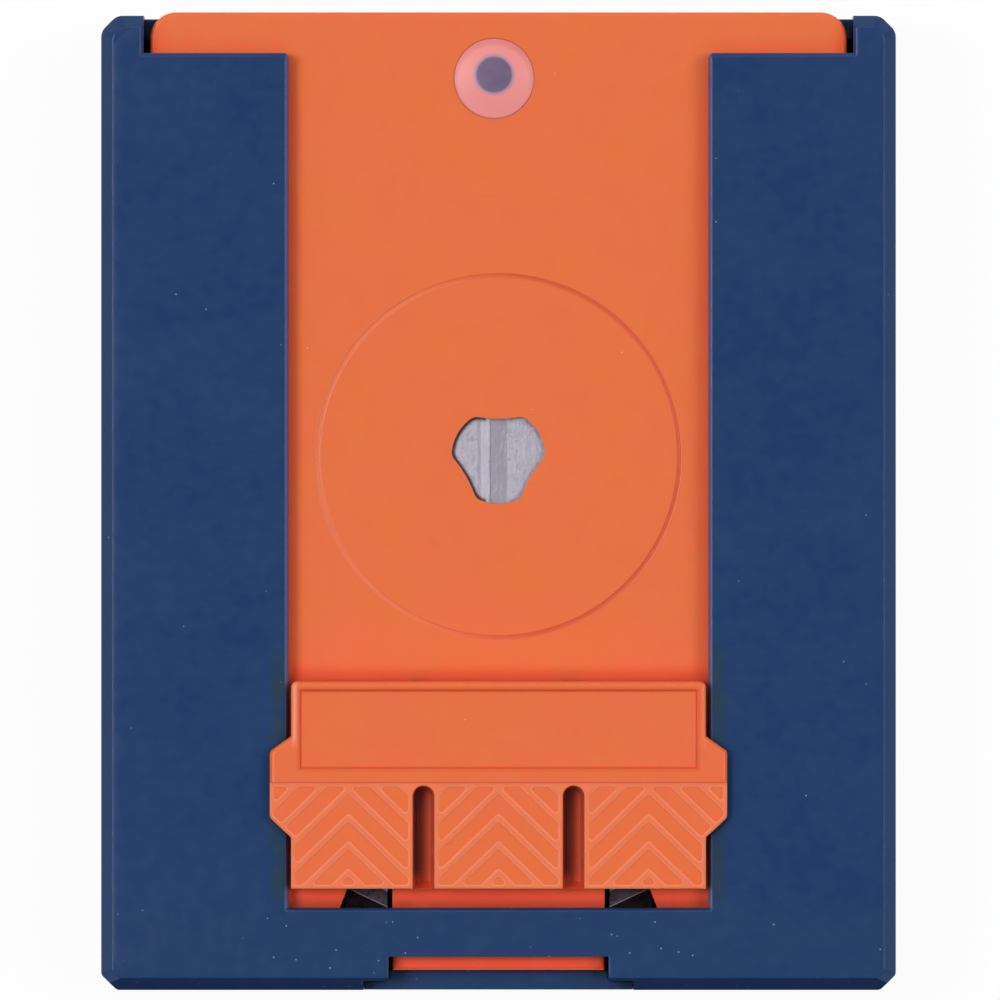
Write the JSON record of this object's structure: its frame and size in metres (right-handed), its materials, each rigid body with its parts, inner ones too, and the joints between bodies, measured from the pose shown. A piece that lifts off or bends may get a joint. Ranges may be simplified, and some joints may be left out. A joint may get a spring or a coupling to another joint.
{
  "type": "stud finder",
  "caption": "Pocket magnetic stud finder: navy sleeve with an orange thumb-driven slide, sight hole over a floating magnet, indicator lens and a coin cell drawer.",
  "frame": {"origin": "middle of the sleeve's flat back, on the face that goes against the wall", "axes": "+Z out of the front face, +Y towards the sleeve's open mouth and the way the slide moves out, +X to the right seen from the front"},
  "size_m": [0.0636, 0.0783, 0.0173],
  "materials": {
    "navy_plastic": "fine moulded texture",
    "orange_plastic": "fine moulded texture",
    "grip_plastic": "moulded, slightly worn on the ridges",
    "lens_plastic": "translucent, polished dome",
    "led_plastic": "clear epoxy with a smoky tint",
    "black_plastic": "moulded",
    "board_laminate": "solder mask",
    "chip_plastic": "moulded",
    "ceramic": "fired",
    "steel_screw": "zinc plated",
    "spring_steel": "rolled strip",
    "pot_steel": "nickel plated, drawn",
    "ferrite": "pressed and fired",
    "contact_brass": "gold flashed",
    "tinned_wire": "tinned",
    "cell_steel": "stamped"
  },
  "bodies": {
    "case": {"front_frame": "navy_plastic", "rear_shell": "navy_plastic", "case_screws": "steel_screw"},
    "carriage": {"carriage_plate": "orange_plastic", "thumb_pad": "grip_plastic", "pad_screws": "steel_screw", "carriage_tray": "orange_plastic", "tray_screws": "steel_screw", "led_lens": "lens_plastic", "indicator_led": "led_plastic", "led_leads": "tinned_wire", "circuit_board": "board_laminate", "series_resistor": "ceramic", "driver_transistor": "chip_plastic", "smoothing_capacitor": "ceramic", "positive_contact": "contact_brass", "negative_contact": "contact_brass", "left_sensor_contact": "contact_brass", "right_sensor_contact": "contact_brass", "left_detent_spring": "spring_steel", "right_detent_spring": "spring_steel", "magnet_spring": "spring_steel"},
    "magnet": {"magnet_pot": "pot_steel", "magnet_disc": "ferrite", "magnet_carrier": "black_plastic", "contact_ring": "contact_brass"},
    "drawer": {"battery_drawer": "orange_plastic", "coin_cell": "cell_steel"}
  },
  "joints": [
    {"name": "carriage_slide", "type": "slide", "parent": "case", "child": "carriage", "axis": [0, 1, 0], "range_m": [0, 0.05], "deforming": ["left_detent_spring", "right_detent_spring"]},
    {"name": "magnet_float", "type": "slide", "parent": "carriage", "child": "magnet", "axis": [0, 0, -1], "range_m": [0, 0.0012], "stiffness_N_per_m": 200, "springref_m": -0.0015, "deforming": ["magnet_spring"]},
    {"name": "drawer_slide", "type": "slide", "parent": "carriage", "child": "drawer", "axis": [0, 1, 0], "range_m": [0, 0.022]}
  ]
}
